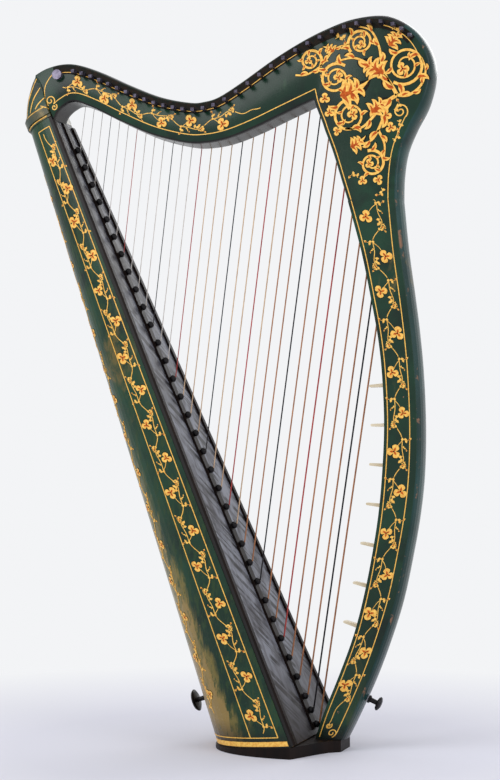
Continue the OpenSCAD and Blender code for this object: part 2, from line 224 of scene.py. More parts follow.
def box_point(t, angle):
    """A point on the soundbox's back: t is the share of its length, angle runs edge to edge."""
    out, y = section(HALF_LOW, DEEP_LOW, angle)
    level = mix(BASE_FRONT, BASE_BACK, -out / DEEP_LOW)
    low = lean(out, y, up_at(level, out))
    out, y = section(HALF_TOP, DEEP_TOP, angle)
    return low.lerp(lean(out, y, BOX_TOP_U), t)


class BoxSide:
    """One side of the soundbox: (up the box, away from the soundboard's edge) in mm."""

    STEPS = 90

    def __init__(self, side):
        self.side = side
        self.low_u = up_at(BASE_FRONT, -BOARD_T)
        self.rows = {}

    def row(self, t):
        key = round(t, 4)
        if key not in self.rows:
            angles = [self.side * math.pi / 2 * (1 - k / self.STEPS) for k in range(self.STEPS + 1)]
            pts = [box_point(key, a) for a in angles]
            arcs = [0.0]
            for a, b in zip(pts, pts[1:]):
                arcs.append(arcs[-1] + (b - a).length)
            self.rows[key] = (pts, arcs)
        return self.rows[key]

    def put(self, s, v, lift):
        t = (s - self.low_u) / (BOX_TOP_U - self.low_u)
        pts, arcs = self.row(t)
        v = clamp(v, 0.0, arcs[-1])
        low, high = 0, len(arcs) - 1
        while high - low > 1:
            m = (low + high) // 2
            if arcs[m] <= v:
                low = m
            else:
                high = m
        part = (v - arcs[low]) / (arcs[high] - arcs[low])
        point = pts[low].lerp(pts[high], part)
        along = lean(0, 0, 1) - lean(0, 0, 0)
        around = pts[high] - pts[low]
        normal = along.cross(around).normalized() * -self.side
        return (point + normal * lift) * MM


# ---- ornament shapes -------------------------------------------------------
SUNK = -0.25


def ribbon(shapes, put, path, halves, lift, mat):
    """A thin raised line along a path, with a half width for each of its points."""
    verts = []
    last = len(path) - 1
    for i, (s, v) in enumerate(path):
        a, b = path[max(i - 1, 0)], path[min(i + 1, last)]
        ds, dv = b[0] - a[0], b[1] - a[1]
        size = math.hypot(ds, dv) or 1.0
        ns, nv = -dv / size * halves[i], ds / size * halves[i]
        verts += [put(s - ns, v - nv, SUNK), put(s - ns, v - nv, lift),
                  put(s + ns, v + nv, lift), put(s + ns, v + nv, SUNK)]
    shapes.add(verts, ring_faces(4, len(path)), mat)


def patch(shapes, put, outline, centre, lift, dome, mat):
    """A small filled shape, a little higher at its centre."""
    n = len(outline)
    verts = [put(s, v, SUNK) for s, v in outline]
    verts += [put(s, v, lift) for s, v in outline]
    verts += [put(centre[0], centre[1], SUNK), put(centre[0], centre[1], lift + dome)]
    faces = []
    for k in range(n):
        nxt = (k + 1) % n
        faces.append([k, nxt, nxt + n, k + n])
        faces.append([k + n, nxt + n, 2 * n + 1])
        faces.append([nxt, k, 2 * n])
    shapes.add(verts, faces, mat)


def turned(s, v, angle, along, out):
    c, n = math.cos(angle), math.sin(angle)
    return s + along * c - out * n, v + along * n + out * c


# Half widths of a petal or leaf at equal steps from its root to its tip
HEART = [0.12, 0.44, 0.74, 0.92, 0.95, 0.72, 0.30]
LEAF = [0.08, 0.26, 0.38, 0.40, 0.32, 0.18, 0.0]
SHADE = [0.10, 0.26, 0.28, 0.22, 0.14, 0.07, 0.0]
BUD = [0.14, 0.48, 0.66, 0.62, 0.44, 0.20, 0.0]
BRIGHT, WARM, DARK = 0, 1, 2


def leaf(shapes, put, s, v, angle, size, form, lift, mat, curl=0.0):
    """A petal, leaf or bud of the given form, with its root at (s, v)."""
    steps = len(form) - 1
    spine = []
    a, x, y = angle, s, v
    for k in range(steps + 1):
        spine.append((x, y, a))
        x += math.cos(a) * size / steps
        y += math.sin(a) * size / steps
        a += curl / steps
    left = [turned(p[0], p[1], p[2], 0, form[k] * size * 0.55) for k, p in enumerate(spine)]
    right = [turned(p[0], p[1], p[2], 0, -form[k] * size * 0.55) for k, p in enumerate(spine)]
    if form[-1] == 0.0:
        right = right[:-1]
    centre = spine[steps // 2]
    patch(shapes, put, left + right[::-1], centre[:2], lift, 0.12, mat)


def trefoil(shapes, put, s, v, size, angle):
    """Three round petals on a dark backing, with warm hearts and a dark eye."""
    for k in range(3):
        a = angle + k * math.tau / 3
        x, y = turned(s, v, a, -0.06 * size, 0)
        leaf(shapes, put, x + 0.05 * size, y - 0.05 * size, a, size * 1.12, HEART, 0.06, DARK)
    for k in range(3):
        a = angle + k * math.tau / 3
        leaf(shapes, put, s, v, a, size, HEART, 0.20, BRIGHT)
        leaf(shapes, put, s, v, a, size * 0.64, LEAF, 0.40, WARM)
    eye = [turned(s, v, k * math.tau / 8, size * 0.11, 0) for k in range(8)]
    patch(shapes, put, eye, (s, v), 0.46, 0.05, DARK)


def curve_path(points, steps=6):
    return [tuple(p) for p in spline([list(p) for p in points], steps)]


def stem(shapes, put, points, thick, lift=0.14, mat=BRIGHT, taper=True):
    path = curve_path(points)
    last = len(path) - 1
    halves = [thick * (1 - 0.55 * (i / last if taper else 0)) for i in range(last + 1)]
    ribbon(shapes, put, path, halves, lift, mat)


def sprig(shapes, put, s, v, angle, size, hand, buds=3):
    """A curling side shoot with buds along it."""
    points = [(s, v)]
    a, x, y = angle, s, v
    for k in range(5):
        x += math.cos(a) * size / 5
        y += math.sin(a) * size / 5
        points.append((x, y))
        a += hand * 0.42
    stem(shapes, put, points, 0.42)
    for k in range(buds):
        px, py = points[k + 1]
        side = hand * (1 if k % 2 else -1)
        leaf(shapes, put, px, py, angle + hand * 0.42 * k + side * 1.0, size * 0.36, BUD,
             0.18, BRIGHT)
    leaf(shapes, put, x, y, a, size * 0.34, BUD, 0.20, BRIGHT)
    leaf(shapes, put, x, y, a, size * 0.2, BUD, 0.34, WARM)


def vine(shapes, put, start, end, middle, reach, pitch, flower, phase=1, seed=1):
    """A wavy stem with a trefoil in each bend and budding shoots between."""
    rng = random.Random(seed)

    def wave(s):
        turn = math.pi * (s - start) / pitch
        return (math.sin(turn) * 0.50 + math.sin(3 * turn + 0.8) * 0.13) * phase

    steps = int((end - start) / 2.2)
    path = []
    for k in range(steps + 1):
        s = mix(start, end, k / steps)
        path.append((s, middle(s) + wave(s) * reach(s)))
    ribbon(shapes, put, path, [0.46] * len(path), 0.14, BRIGHT)
    bends = int((end - start) / pitch)
    for k in range(bends):
        sign = phase * (1 if k % 2 == 0 else -1)
        s = start + (k + 0.5) * pitch
        r = reach(s)
        fs = s + rng.uniform(-0.06, 0.06) * pitch
        fv = middle(s) - sign * r * 0.44
        size = flower * rng.uniform(0.92, 1.08)
        root = s - pitch * 0.30
        stem(shapes, put, [(root, middle(root) + wave(root) * r), (s - pitch * 0.20, middle(s)),
                           (fs, fv)], 0.5)
        trefoil(shapes, put, fs, fv, size, rng.uniform(0, math.tau))
        out = sign * math.pi / 2
        for at, angle, length, hand, buds in (
            (-0.40, out * 0.35, 1.7, sign, 3), (-0.12, math.pi - out * 0.8, 1.0, -sign, 2),
            (0.06, -out * 0.45, 1.9, sign, 3), (0.24, out * 0.9, 0.9, -sign, 2),
            (0.40, math.pi - out * 0.55, 1.4, -sign, 3),
        ):
            q = s + at * pitch
            if start < q < end:
                sprig(shapes, put, q, middle(q) + wave(q) * r, angle, flower * length * 0.8,
                      hand * 0.8, buds)


FIRST_LEAF = 3
LEAF_GAP = 5


def leafy(shapes, put, path, thick, size):
    """A tapering gold stem with a dark edge and curling leaves on alternate sides."""
    last = len(path) - 1
    halves = [mix(thick * 0.75, thick * 0.3, k / last) for k in range(last + 1)]
    ribbon(shapes, put, path, [h + 0.55 for h in halves], 0.05, DARK)
    ribbon(shapes, put, path, halves, 0.20, BRIGHT)
    side = 1
    for k in range(FIRST_LEAF, last - 1, LEAF_GAP):
        px, pz = path[k]
        a = math.atan2(path[k + 1][1] - pz, path[k + 1][0] - px)
        big = size * mix(1.0, 0.6, k / last)
        leaf(shapes, put, px, pz, a + side * 0.85, big * 1.3, LEAF, 0.10, DARK, -side * 1.3)
        leaf(shapes, put, px, pz, a + side * 0.80, big * 1.2, LEAF, 0.26, BRIGHT, -side * 1.5)
        leaf(shapes, put, px, pz, a + side * 0.72, big * 0.85, SHADE, 0.40, WARM, -side * 0.9)
        side = -side


def scroll(shapes, put, x, z, radius, start, hand, turns=1.6, leaves=8):
    """A spiral stem with curling leaves on its outside and a flower at its eye."""
    count = int(turns * 22)
    path = []
    for k in range(count + 1):
        t = k / count
        r = radius * (1 - t) ** 0.85 * 0.78 + radius * 0.20
        a = start + hand * math.tau * turns * t
        path.append((x + r * math.cos(a), z + r * math.sin(a)))
    halves = [mix(1.9, 0.8, k / count) for k in range(count + 1)]
    ribbon(shapes, put, path, [h + 0.6 for h in halves], 0.05, DARK)
    ribbon(shapes, put, path, halves, 0.20, BRIGHT)
    for k in range(leaves):
        i = int(count * (0.03 + 0.84 * k / leaves))
        px, pz = path[i]
        a = math.atan2(path[i + 1][1] - pz, path[i + 1][0] - px)
        size = radius * mix(0.64, 0.26, k / leaves)
        side = -hand if k % 3 != 2 else hand
        leaf(shapes, put, px, pz, a + side * 0.70, size * 1.2, LEAF, 0.10, DARK, side * 1.3)
        leaf(shapes, put, px, pz, a + side * 0.65, size * 1.08, LEAF, 0.26, BRIGHT, side * 1.5)
        leaf(shapes, put, px, pz, a + side * 0.68, size * 0.8, SHADE, 0.40, WARM, side * 1.0)
    ex, ez = path[-1]
    trefoil(shapes, put, ex, ez, radius * 0.34, start)


def acanthus(shapes, put, x, z, angle, size, hand):
    """A large curling leaf with three pairs of lobes, smaller towards its tip."""
    bend = hand * 0.7
    leaf(shapes, put, x, z, angle, size * 1.06, LEAF, 0.12, DARK, bend)
    for along, part in ((0.04, 0.54), (0.28, 0.48), (0.52, 0.38)):
        turn = angle + bend * along
        px = x + math.cos(angle + bend * along / 2) * size * along
        pz = z + math.sin(angle + bend * along / 2) * size * along
        for side in (1, -1):
            leaf(shapes, put, px, pz, turn + side * 0.84, size * part * 1.1, LEAF, 0.10, DARK,
                 side * 1.3)
            leaf(shapes, put, px, pz, turn + side * 0.80, size * part, LEAF, 0.24, BRIGHT,
                 side * 1.3)
            leaf(shapes, put, px, pz, turn + side * 0.74, size * part * 0.66, SHADE, 0.40, WARM,
                 side * 0.8)
    leaf(shapes, put, x, z, angle, size, SHADE, 0.34, BRIGHT, bend)
    leaf(shapes, put, x, z, angle, size * 0.50, SHADE, 0.50, WARM, bend * 0.5)


# ---- materials -------------------------------------------------------------
def srgb(r, g, b):
    out = []
    for c in (r, g, b):
        c /= 255
        out.append(c / 12.92 if c <= 0.04045 else ((c + 0.055) / 1.055) ** 2.4)
    return out[0], out[1], out[2], 1.0


class Paint:
    """A node material, built up in layers of colour over object coordinates."""

    def __init__(self, name, base, rough, metal=0.0, coat=0.0, specular=0.5):
        self.material = bpy.data.materials.new(name)
        self.material.use_nodes = True
        self.tree = self.material.node_tree
        self.shader = self.tree.nodes["Principled BSDF"]
        self.shader.inputs["Roughness"].default_value = rough
        self.shader.inputs["Metallic"].default_value = metal
        self.shader.inputs["Coat Weight"].default_value = coat
        self.shader.inputs["Coat Roughness"].default_value = 0.15
        self.shader.inputs["Specular IOR Level"].default_value = specular
        self.place = self.tree.nodes.new("ShaderNodeTexCoord").outputs["Object"]
        self.colour = None
        self.shader.inputs["Base Color"].default_value = base
        self.base = base

    def node(self, kind, **values):
        n = self.tree.nodes.new(kind)
        for key, value in values.items():
            setattr(n, key, value)
        return n

    def link(self, a, b):
        self.tree.links.new(a, b)

    def mapped(self, scale=(1, 1, 1), turn=(0, 0, 0)):
        m = self.node("ShaderNodeMapping")
        m.inputs["Scale"].default_value = scale
        m.inputs["Rotation"].default_value = turn
        self.link(self.place, m.inputs["Vector"])
        return m.outputs["Vector"]

    def noise(self, scale, detail=4.0, rough=0.55, stretch=(1, 1, 1), turn=(0, 0, 0), twist=0.0):
        n = self.node("ShaderNodeTexNoise")
        n.inputs["Scale"].default_value = scale
        n.inputs["Detail"].default_value = detail
        n.inputs["Roughness"].default_value = rough
        n.inputs["Distortion"].default_value = twist
        self.link(self.mapped(stretch, turn), n.inputs["Vector"])
        return n.outputs["Fac"]

    def cells(self, scale, feature="DISTANCE_TO_EDGE", stretch=(1, 1, 1)):
        n = self.node("ShaderNodeTexVoronoi", feature=feature)
        n.inputs["Scale"].default_value = scale
        self.link(self.mapped(stretch), n.inputs["Vector"])
        return n.outputs["Distance"]

    def along(self, direction):
        """How far a point lies along a direction."""
        d = self.node("ShaderNodeVectorMath", operation="DOT_PRODUCT")
        self.link(self.place, d.inputs[0])
        d.inputs[1].default_value = direction
        return d.outputs["Value"]

    def ramp(self, value, low, high, invert=False):
        r = self.node("ShaderNodeMapRange")
        r.inputs["From Min"].default_value = low
        r.inputs["From Max"].default_value = high
        r.inputs["To Min"].default_value = 1.0 if invert else 0.0
        r.inputs["To Max"].default_value = 0.0 if invert else 1.0
        self.link(value, r.inputs["Value"])
        return r.outputs["Result"]

    def times(self, a, b, kind="MULTIPLY"):
        m = self.node("ShaderNodeMath", operation=kind)
        self.link(a, m.inputs[0])
        if isinstance(b, float):
            m.inputs[1].default_value = b
        else:
            self.link(b, m.inputs[1])
        return m.outputs["Value"]

    def layer(self, colour, mask):
        """Puts a colour over what is there already, where the mask is 1."""
        m = self.node("ShaderNodeMix", data_type="RGBA")
        self.link(mask, m.inputs["Factor"])
        below, above = [socket for socket in m.inputs if socket.type == "RGBA"]
        above.default_value = colour
        if self.colour is None:
            below.default_value = self.base
        else:
            self.link(self.colour, below)
        self.colour = [o for o in m.outputs if o.type == "RGBA"][0]
        self.link(self.colour, self.shader.inputs["Base Color"])

    def rough_between(self, mask, low, high):
        r = self.node("ShaderNodeMapRange")
        r.inputs["To Min"].default_value = low
        r.inputs["To Max"].default_value = high
        self.link(mask, r.inputs["Value"])
        self.link(r.outputs["Result"], self.shader.inputs["Roughness"])

    def bump(self, height, strength, distance=0.0005):
        b = self.node("ShaderNodeBump")
        b.inputs["Strength"].default_value = strength
        b.inputs["Distance"].default_value = distance
        self.link(height, b.inputs["Height"])
        self.link(b.outputs["Normal"], self.shader.inputs["Normal"])


# Colours of wear on the lacquer, and of its darkening near the floor
OLIVE_PATCH = (96, 84, 44)
MOSSY_PATCH = (44, 74, 50)
RUBBED_OLIVE = (112, 100, 50)
GREEN_LEFT = (34, 58, 30)
RUBBED_PALE = (134, 112, 62)
CRACK_LINE = (44, 62, 46)
BARE_CHIP = (134, 100, 78)
CORNER_CHIP = (128, 92, 70)
FOOT_DARKENING = (12, 10, 9)
# How far from the middle of the frame's thickness its corners are, in metres
CORNER_ZONE = (0.0150, 0.0185)
FACE_ZONE = (0.0193, 0.0199)


def lacquer(name, tones, patchy=0.8, chips=0.74, rubbed=False, sides=None):
    """Japanning in three tones, with olive wear, fine cracks and chips, darker near the floor.

    Where sides gives another three tones, they lie on all but the flat near and far faces, lighter
    and bluer there as a painted sheen.
    """
    p = Paint(name, srgb(*tones[0]), 0.3, coat=0.04, specular=0.26)
    p.layer(srgb(*tones[1]), p.ramp(p.noise(9, 5), 0.44, 0.74))
    p.layer(srgb(*tones[2]), p.ramp(p.noise(23, 4), 0.52, 0.74))
    split = p.node("ShaderNodeSeparateXYZ")
    p.link(p.place, split.inputs["Vector"])
    if sides is not None:
        shift = p.times(split.outputs["Y"], -MID_Y * MM, "ADD")
        width = p.node("ShaderNodeMath", operation="ABSOLUTE")
        p.link(shift, width.inputs[0])
        edge = p.ramp(width.outputs["Value"], *FACE_ZONE, True)
        # The lighter blue-green tones on the edges are a painted sheen.
        p.layer(srgb(*sides[0]), edge)
        p.layer(srgb(*sides[1]), p.times(edge, p.ramp(p.noise(8, 5), 0.44, 0.70)))
        corner = p.times(p.ramp(width.outputs["Value"], *CORNER_ZONE), edge)
        p.layer(srgb(*CORNER_CHIP), p.times(corner, p.ramp(p.noise(60, 6), 0.60, 0.64)))
    patches = p.times(p.ramp(p.noise(11, 8, 0.68, (1, 1, 0.45), twist=0.6), 0.60, 0.66),
                      p.ramp(p.noise(3.2, 2), 0.46, 0.60))
    p.layer(srgb(*OLIVE_PATCH), p.times(patches, patchy))
    mossy = p.ramp(p.noise(34, 6, 0.7, (1, 1, 0.35)), 0.62, 0.70)
    p.layer(srgb(*MOSSY_PATCH), p.times(mossy, 0.4))
    if rubbed:
        low = p.ramp(split.outputs["Z"], 0.04, 0.58, True)
        behind = p.along((math.cos(LEAN), 0, math.sin(LEAN)))
        back = p.ramp(behind, 0.027, 0.004)
        zone = p.times(p.times(low, back), 0.44)
        streaks = p.noise(30, 8, 0.72, (1, 1, 0.20), (0, -LEAN, 0), 0.5)
        worn = p.ramp(p.times(streaks, zone, "ADD"), 0.64, 0.76)
        p.layer(srgb(*RUBBED_OLIVE), p.times(worn, 0.92))
        speckle = p.ramp(p.noise(150, 6, 0.7, (1, 1, 0.3), (0, -LEAN, 0)), 0.50, 0.58)
        p.layer(srgb(*GREEN_LEFT), p.times(speckle, 0.8))
        scuffs = p.times(p.noise(64, 6, 0.7, (1, 1, 0.4)), zone, "ADD")
        p.layer(srgb(*RUBBED_PALE), p.ramp(scuffs, 0.80, 0.86))
    cracks = p.times(p.ramp(p.cells(150, stretch=(1, 1, 0.5)), 0.0, 0.05, True),
                     p.ramp(p.noise(14, 3), 0.50, 0.62))
    p.layer(srgb(*CRACK_LINE), p.times(cracks, 0.35))
    p.layer(srgb(*BARE_CHIP), p.times(p.ramp(p.noise(110, 4), chips, chips + 0.02), 0.85))
    # Darker near the floor, below about 4 cm.
    p.layer(srgb(*FOOT_DARKENING), p.times(p.ramp(split.outputs["Z"], 0.012, 0.040, True), 0.95))
    p.rough_between(p.noise(30, 5), 0.16, 0.38)
    p.bump(p.noise(160, 4), 0.12, 0.0004)
    return p.material


def plain(name, base, second, scale, rough, metal=0.0, coat=0.0, stretch=(1, 1, 1), grain=0.15):
    p = Paint(name, srgb(*base), rough, metal, coat, 0.5 if metal else 0.12)
    p.layer(srgb(*second), p.ramp(p.noise(scale, 5, 0.6, stretch), 0.38, 0.70))
    p.rough_between(p.noise(scale * 2.2, 4), max(rough - 0.10, 0.05), rough + 0.14)
    p.bump(p.noise(scale * 4, 4, 0.6, stretch), grain, 0.0004)
    return p.material


GREENS = ((9, 40, 27), (20, 64, 43), (5, 22, 18))
# Lighter, bluer greens for the frame's edges: a painted sheen.
SHEEN_BLUE_GREENS = ((16, 46, 44), (36, 72, 72), (10, 28, 28))
BLACKS = ((17, 17, 19), (38, 30, 26), (8, 9, 12))
green = lacquer("green_lacquer_paint", GREENS, 0.8, 0.76)
# The pillar's edges carry the painted sheen of the lighter blue-greens.
green_pillar = lacquer("green_lacquer_pillar", GREENS, 0.8, 0.72, False, SHEEN_BLUE_GREENS)
# Black for the neck's outer edge, and as painted shade on its underside.
black_edge_and_underside_shade = lacquer("black_lacquer_edge_and_painted_shade", BLACKS, 0.3, 0.72)
green_edge_sheen = lacquer("green_lacquer_edge_painted_sheen", SHEEN_BLUE_GREENS, 0.9, 0.66)
green_box = lacquer("green_lacquer_box", GREENS, 0.9, 0.74, True)
green_cap = lacquer("green_lacquer_cap", GREENS, 1.0, 0.70)
gold = plain("gold_paint", (244, 196, 92), (212, 146, 46), 300, 0.42, 0.1)
gold_warm = plain("gold_shade", (194, 92, 28), (146, 54, 20), 320, 0.5)
gold_dark = plain("ornament_shadow", (8, 16, 12), (40, 22, 10), 200, 0.55)
ORNAMENT = [gold, gold_warm, gold_dark]
dark_wood = plain("dark_moulding_wood", (27, 17, 13), (11, 8, 8), 60, 0.46,
                  stretch=(1, 1, 0.15))
ebony = plain("ebony_black", (13, 12, 14), (30, 27, 30), 90, 0.32, coat=0.1)
iron = plain("iron_pins", (44, 42, 52), (96, 90, 108), 240, 0.40, 0.75)
steel = plain("steel_parts", (128, 122, 140), (84, 78, 96), 120, 0.38, 0.7)
brass = plain("brass_action", (190, 148, 82), (150, 112, 62), 38, 0.34, 0.9)
ivory = plain("ivory_levers", (226, 214, 188), (196, 178, 144), 110, 0.38, coat=0.2,
              stretch=(0.3, 1, 1))
inner_wood = plain("inner_pine", (150, 118, 82), (112, 84, 56), 40, 0.6, stretch=(1, 1, 0.12))
gut = plain("gut_natural", (206, 178, 148), (170, 134, 104), 400, 0.4, stretch=(1, 1, 0.2))
gut_pale = plain("gut_treble", (206, 200, 196), (176, 168, 160), 400, 0.4, stretch=(1, 1, 0.2))
gut_bass = plain("gut_bass", (176, 122, 86), (132, 84, 60), 300, 0.42, stretch=(1, 1, 0.2))
gut_red = plain("gut_red", (176, 70, 66), (140, 46, 46), 300, 0.4, stretch=(1, 1, 0.2))
gut_black = plain("gut_black", (36, 32, 36), (20, 18, 22), 300, 0.38, stretch=(1, 1, 0.2))


# Colours of the soundboard
BOARD_GREY = (122, 125, 136)
BOARD_GRAIN = (58, 57, 64)
BOARD_PALE = (122, 124, 134)
BOARD_STROKE = (26, 25, 31)
BOARD_UPPER_SHADE = (40, 38, 44)
BOARD_FOOT = (34, 25, 22)
BOARD_STAIN = (30, 24, 22)
BOARD_RIM = (17, 13, 13)
BOARD_LINE_OUT = 0.0341


def soundboard_paint():
    """Grey old wood with slanting dark strokes, darker at its foot and its edges, with painted
    shade over its top.
    """
    p = Paint("soundboard_aged", srgb(*BOARD_GREY), 0.5, specular=0.3)
    up = (-math.sin(LEAN), 0, math.cos(LEAN))
    grain = p.noise(60, 6, 0.6, (1, 1, 0.06), (0, -LEAN, 0), 0.2)
    p.layer(srgb(*BOARD_GRAIN), p.ramp(grain, 0.42, 0.66))
    pale = p.ramp(p.noise(16, 5, 0.6, (1, 1, 0.3)), 0.54, 0.74)
    p.layer(srgb(*BOARD_PALE), p.times(pale, 0.5))
    slant = p.along((up[0], 0.75, up[2]))
    bands = p.node("ShaderNodeTexNoise", noise_dimensions="1D")
    bands.inputs["Scale"].default_value = 85
    bands.inputs["Detail"].default_value = 4
    p.link(slant, bands.inputs["W"])
    broken = p.ramp(p.noise(30, 3), 0.40, 0.56)
    strokes = p.times(p.ramp(bands.outputs["Fac"], 0.49, 0.55), broken)
    p.layer(srgb(*BOARD_STROKE), p.times(strokes, 0.95))
    height = p.along((0, 0, 1))
    # Painted shade over the board's upper part.
    p.layer(srgb(*BOARD_UPPER_SHADE), p.times(p.ramp(height, 0.35, 0.75), 0.6))
    p.layer(srgb(*BOARD_FOOT), p.times(p.ramp(height, 0.02, 0.13, True), 0.8))
    p.layer(srgb(*BOARD_STAIN), p.times(p.ramp(p.noise(7, 4), 0.54, 0.72), 0.65))
    width = p.node("ShaderNodeMath", operation="ABSOLUTE")
    p.link(p.along((0, 1, 0)), width.inputs[0])
    narrowing = (HALF_LOW - HALF_TOP) / BOX_TOP_U
    taper = p.times(p.along(up), narrowing)
    edge = p.times(width.outputs["Value"], taper, "ADD")
    limit = HALF_LOW * MM - BOARD_LINE_OUT * narrowing
    p.layer(srgb(*BOARD_RIM), p.ramp(edge, limit - 0.008, limit - 0.002))
    p.bump(grain, 0.2, 0.0004)
    p.rough_between(p.noise(40, 4), 0.38, 0.62)
    return p.material


def ring_paint():
    """Green worn to a dull gold, for the ring at the top of the soundbox."""
    p = Paint("shoulder_ring_worn", srgb(62, 62, 36), 0.4, coat=0.2)
    p.layer(srgb(30, 48, 34), p.ramp(p.noise(26, 5), 0.48, 0.62))
    p.layer(srgb(128, 112, 68), p.times(p.ramp(p.noise(48, 6), 0.56, 0.66), 0.75))
    p.rough_between(p.noise(50, 4), 0.30, 0.55)
    p.bump(p.noise(120, 4), 0.2, 0.0004)
    return p.material


board_paint = soundboard_paint()
ring_worn = ring_paint()

CAD_PAINT = {
    "base_moulding": dark_wood, "base_block": inner_wood, "soundbox_shell": green_box,
    "soundbox_bars": inner_wood, "soundboard": board_paint, "edge_mouldings": dark_wood,
    "string_rib": dark_wood, "string_pegs": ebony, "shoulder_ring": ring_worn,
    "shoulder_cap": green_cap, "neck_bolt": steel, "dital_plate": brass,
    "action_plate": brass, "bridge_pins": brass, "tuning_pins": iron, "strap_buttons": ebony,
    "linkage": steel, "pillar": green_pillar,
}
for name, node in nodes.items():
    paint = CAD_PAINT.get(name)
    if name.startswith("dital_") and name != "dital_plate":
        paint = ivory
    if name.startswith("fork_disc_"):
        paint = brass
    if paint is not None:
        node.data.materials.clear()
        node.data.materials.append(paint)


# ---- neck and head: a clean body with eased edges --------------------------
def swell_at(x):
    return mix(NECK_SWELL, EDGE_SWELL, clamp((x - 60) / 120, 0, 1))


HEAD_FROM_X = 196
HEAD_LOW_Z = 800
SWELL_STEPS = 14
INNER_POINTS = 3
EASE_POINTS = 3
INNER_BAND = 14.0
INNER_GROOVE = 12.0


def frame_body(name, line, ease=2.2):
    """Sweeps flat sides, an eased inner edge and a swelling outer edge along the line."""
    rings = []
    last = len(line) - 1
    for i, s in enumerate(line):
        o, q = Vector((s[0], s[1])), Vector((s[2], s[3]))
        w = (o - q).normalized()
        a, b = line[max(i - 1, 0)], line[min(i + 1, last)]
        run = Vector((b[0] - a[0], b[1] - a[1])).normalized()
        way = Vector((-run[1], run[0]))
        ring = [(q[0], MID_Y + INNER_GROOVE, q[1]), (q[0], MID_Y - INNER_GROOVE, q[1]),
                (q[0], MID_Y - INNER_BAND, q[1])]
        for t in (0, 0.5, 1):
            turn = t * math.pi / 2
            p = q + w * ease * (1 - math.cos(turn))
            ring.append((p[0], NEAR_Y + ease * (1 - math.sin(turn)), p[1]))
        for k in range(SWELL_STEPS + 1):
            turn = math.pi * k / SWELL_STEPS
            p = o + way * swell_at(s[0]) * math.sin(turn)
            ring.append((p[0], MID_Y - HALF_FRAME * math.cos(turn), p[1]))
        for t in (1, 0.5, 0):
            turn = t * math.pi / 2
            p = q + w * ease * (1 - math.cos(turn))
            ring.append((p[0], FAR_Y - ease * (1 - math.sin(turn)), p[1]))
        ring.append((q[0], MID_Y + INNER_BAND, q[1]))
        rings.append([(x * MM, y * MM, z * MM) for x, y, z in ring])
    shapes = Shapes()
    shapes.add([v for r in rings for v in r], ring_faces(len(rings[0]), len(rings)))
    count = len(rings[0])
    first_swell = INNER_POINTS + EASE_POINTS
    last_swell = first_swell + SWELL_STEPS - 1
    for f in range((len(rings) - 1) * count):
        k = f % count
        upper = line[f // count][0] < HEAD_FROM_X and line[f // count][1] > HEAD_LOW_Z
        if first_swell <= k <= last_swell:
            # The swelling outer edge is black on the neck and upper head, and elsewhere takes the
            # lighter blue-green painted sheen.
            shapes.mats[f] = 2 if upper else 1
        # On the neck and upper head, the inner faces (the underside) and the near eased edge take
        # the black as painted shade.
        elif upper and (k < first_swell - 1 or k > last_swell + EASE_POINTS):
            shapes.mats[f] = 2
    return shapes.build(name, [green, green_edge_sheen, black_edge_and_underside_shade],
                        smooth_angle=38)


LINE_STEPS = 8
neck_line = spline(NECK_STATIONS, LINE_STEPS)
pillar_line = spline(PILLAR_STATIONS, LINE_STEPS)
neck_body = frame_body("neck_body", neck_line)
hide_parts("neck")

# ---- strings ---------------------------------------------------------------
PEG_FIRST_Z = 766.0
PEG_PITCH = 23.5
LAST_EVEN = 31
LOW_PITCH = 17.0
RIB_H = 3.0
PEG_TOP = 10.1
PIN_R = 2.8
BRIDGE_DROP = 15.0
STRING_Y = 19.0
STRING_R_FIRST = 0.35
STRING_R_LAST = 1.1
SLOPE_FIRST = 0.09
SLOPE_LAST = 0.152
PIN_INSET_NECK = 10.0
PIN_INSET_HEAD = 6.5
WINDING_TURNS = 3
TURN_STEPS = 16
WINDING_PITCH = 2.1


def peg_u(i):
    z = PEG_FIRST_Z - PEG_PITCH * (min(i, LAST_EVEN) - 1) - LOW_PITCH * max(i - LAST_EVEN, 0)
    return up_at(z, RIB_H)


def string_r(i):
    return mix(STRING_R_FIRST, STRING_R_LAST, ((i - 1) / (STRING_COUNT - 1)) ** 1.3)


def string_x(i, z):
    """Where string i is at height z."""
    foot = lean(RIB_H, 0, peg_u(i))
    slope = mix(SLOPE_FIRST, SLOPE_LAST, (i - 1) / (STRING_COUNT - 1))
    return foot[0] + slope * (z - foot[2])


def pin_row_points():
    """The row of tuning pins, a little inside the neck's upper edge."""
    line = spline(NECK_STATIONS, 4)
    top = [(s[0], s[1]) for s in line]
    row = []
    for k in range(2, 67):
        a, b = top[k - 1], top[k + 1]
        size = math.hypot(b[0] - a[0], b[1] - a[1])
        inset = mix(PIN_INSET_NECK, PIN_INSET_HEAD, clamp((k - 28) / 12, 0, 1))
        row.append((top[k][0] + (b[1] - a[1]) / size * inset,
                    top[k][1] - (b[0] - a[0]) / size * inset))
    return row


PIN_ROW = pin_row_points()


def row_height(x):
    for a, b in zip(PIN_ROW, PIN_ROW[1:]):
        if a[0] <= x <= b[0]:
            return mix(a[1], b[1], (x - a[0]) / (b[0] - a[0]))
    return PIN_ROW[0][1] if x < PIN_ROW[0][0] else PIN_ROW[-1][1]


def meet_z(i, drop):
    """The height at which string i meets the pin row, or a line the given drop below it."""
    z = 840.0
    for _ in range(3):
        z = row_height(string_x(i, z)) - drop
    return z


